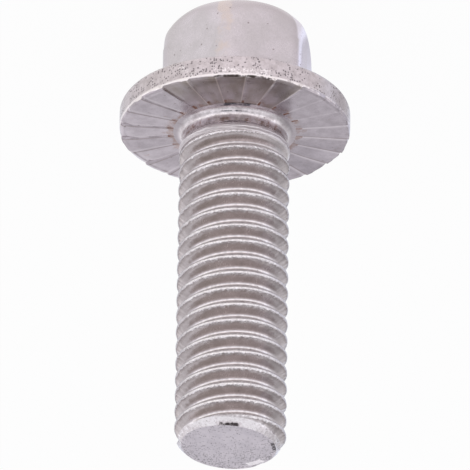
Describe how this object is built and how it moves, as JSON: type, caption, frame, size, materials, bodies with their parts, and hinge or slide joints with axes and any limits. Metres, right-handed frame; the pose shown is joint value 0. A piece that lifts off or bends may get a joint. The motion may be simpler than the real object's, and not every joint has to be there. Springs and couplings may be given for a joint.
{
  "type": "flange bolt",
  "caption": "Hexagon flange bolt with a fully threaded shank and a ring of locking teeth on the flange's bearing face.",
  "frame": {"origin": "centre of the bearing face, where the shank meets the flange, level with the tips of the locking teeth", "axes": "+Z along the shank to its tip; the head lies at -Z and the bolt stands on its flat top; +X is square to a flat of the hexagon"},
  "size_m": [0.0164, 0.0162, 0.0333],
  "materials": {
    "bolt_steel": "satin cold-formed stainless steel, pitted at the rim, a little rust at the neck"
  },
  "bodies": {
    "root": {"flange_bolt": "bolt_steel"}
  },
  "joints": []
}
